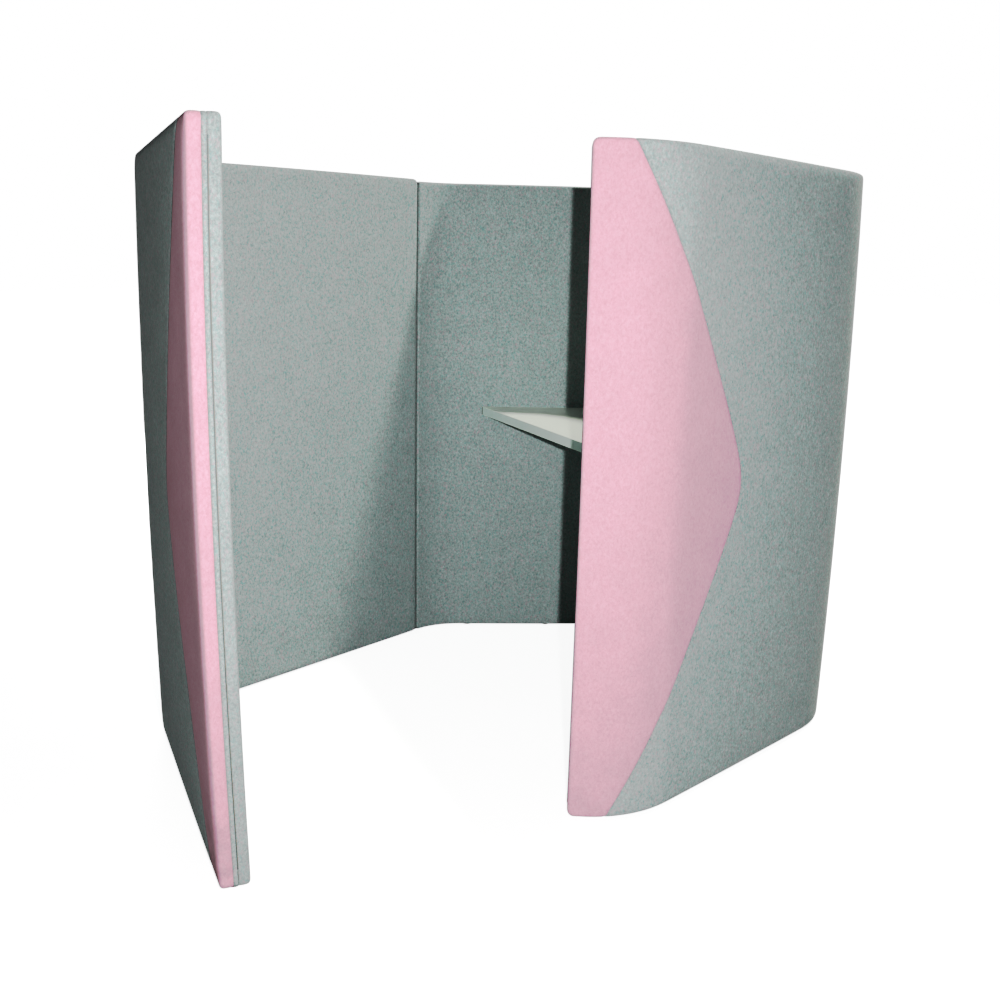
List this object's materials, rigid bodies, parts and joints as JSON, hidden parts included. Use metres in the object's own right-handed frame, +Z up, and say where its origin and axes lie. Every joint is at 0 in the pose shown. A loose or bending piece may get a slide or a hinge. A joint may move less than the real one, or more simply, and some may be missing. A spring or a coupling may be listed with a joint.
{
  "type": "study carrel",
  "caption": "Freestanding acoustic study carrel of curved felt-covered screens with coloured inserts, an open entry and a worktop fitted wall to wall.",
  "frame": {"origin": "on the floor, under the middle of the bounding box", "axes": "+X towards the wall behind the worktop, -Y towards the entry, +Z up"},
  "size_m": [1.6996, 1.3392, 1.4],
  "materials": {
    "felt_grey": "melange wool felt",
    "felt_pink": "plain wool felt",
    "foam": "upholstery foam",
    "acoustic_infill": "mineral wool slab",
    "plywood": "bending plywood",
    "timber": "planed softwood",
    "board": "particle board",
    "laminate": "matt melamine laminate",
    "edge_band": "matt plastic edge band",
    "bracket_steel": "black powder coat",
    "zinc_steel": "zinc plated",
    "glide": "black nylon foot on a threaded stem",
    "zip_tape": "nylon coil zip",
    "zip_metal": "nickel plated"
  },
  "bodies": {
    "screens": {"right_bottom_rail": "timber", "right_top_rail": "timber", "right_uprights": "timber", "right_infill": "acoustic_infill", "right_inner_skin": "plywood", "right_outer_skin": "plywood", "right_inner_pad": "foam", "right_outer_pad": "foam", "right_inner_cover": "felt_grey", "right_outer_cover": "felt_grey", "right_insert": "felt_pink", "rear_bottom_rail": "timber", "rear_top_rail": "timber", "rear_uprights": "timber", "rear_infill": "acoustic_infill", "rear_inner_skin": "plywood", "rear_outer_skin": "plywood", "rear_inner_pad": "foam", "rear_outer_pad": "foam", "rear_inner_cover": "felt_grey", "rear_outer_cover": "felt_grey", "left_bottom_rail": "timber", "left_top_rail": "timber", "left_uprights": "timber", "left_infill": "acoustic_infill", "left_inner_skin": "plywood", "left_outer_skin": "plywood", "left_inner_pad": "foam", "left_outer_pad": "foam", "left_inner_cover": "felt_grey", "left_outer_cover": "felt_grey", "left_insert": "felt_pink", "right_zip": "zip_tape", "left_zip": "zip_tape", "worktop_core": "board", "worktop_laminate": "laminate", "worktop_backing": "laminate", "worktop_edge": "edge_band", "desk_brackets": "bracket_steel", "bracket_screws": "zinc_steel", "link_plates": "bracket_steel", "link_screws": "zinc_steel", "link_dowels": "zinc_steel", "glide_nuts": "zinc_steel"},
    "glide_right_desk": {"glide_right_desk": "glide"},
    "glide_right_side": {"glide_right_side": "glide"},
    "glide_right_front": {"glide_right_front": "glide"},
    "glide_rear_desk": {"glide_rear_desk": "glide"},
    "glide_rear_side": {"glide_rear_side": "glide"},
    "glide_rear_link": {"glide_rear_link": "glide"},
    "glide_left_link": {"glide_left_link": "glide"},
    "glide_left_corner": {"glide_left_corner": "glide"},
    "glide_left_middle": {"glide_left_middle": "glide"},
    "glide_left_front": {"glide_left_front": "glide"},
    "right_zip_slider": {"right_zip_slider": "zip_metal"},
    "left_zip_slider": {"left_zip_slider": "zip_metal"}
  },
  "joints": [
    {"name": "glide_right_desk_adjust", "type": "slide", "parent": "screens", "child": "glide_right_desk", "axis": [0, 0, -1], "range_m": [-0.0008, 0.012]},
    {"name": "glide_right_side_adjust", "type": "slide", "parent": "screens", "child": "glide_right_side", "axis": [0, 0, -1], "range_m": [-0.0008, 0.012]},
    {"name": "glide_right_front_adjust", "type": "slide", "parent": "screens", "child": "glide_right_front", "axis": [0, 0, -1], "range_m": [-0.0008, 0.012]},
    {"name": "glide_rear_desk_adjust", "type": "slide", "parent": "screens", "child": "glide_rear_desk", "axis": [0, 0, -1], "range_m": [-0.0008, 0.012]},
    {"name": "glide_rear_side_adjust", "type": "slide", "parent": "screens", "child": "glide_rear_side", "axis": [0, 0, -1], "range_m": [-0.0008, 0.012]},
    {"name": "glide_rear_link_adjust", "type": "slide", "parent": "screens", "child": "glide_rear_link", "axis": [0, 0, -1], "range_m": [-0.0008, 0.012]},
    {"name": "glide_left_link_adjust", "type": "slide", "parent": "screens", "child": "glide_left_link", "axis": [0, 0, -1], "range_m": [-0.0008, 0.012]},
    {"name": "glide_left_corner_adjust", "type": "slide", "parent": "screens", "child": "glide_left_corner", "axis": [0, 0, -1], "range_m": [-0.0008, 0.012]},
    {"name": "glide_left_middle_adjust", "type": "slide", "parent": "screens", "child": "glide_left_middle", "axis": [0, 0, -1], "range_m": [-0.0008, 0.012]},
    {"name": "glide_left_front_adjust", "type": "slide", "parent": "screens", "child": "glide_left_front", "axis": [0, 0, -1], "range_m": [-0.0008, 0.012]},
    {"name": "right_zip_travel", "type": "slide", "parent": "screens", "child": "right_zip_slider", "axis": [0, 0, 1], "range_m": [0, 1.32]},
    {"name": "left_zip_travel", "type": "slide", "parent": "screens", "child": "left_zip_slider", "axis": [0, 0, 1], "range_m": [0, 1.32]}
  ]
}
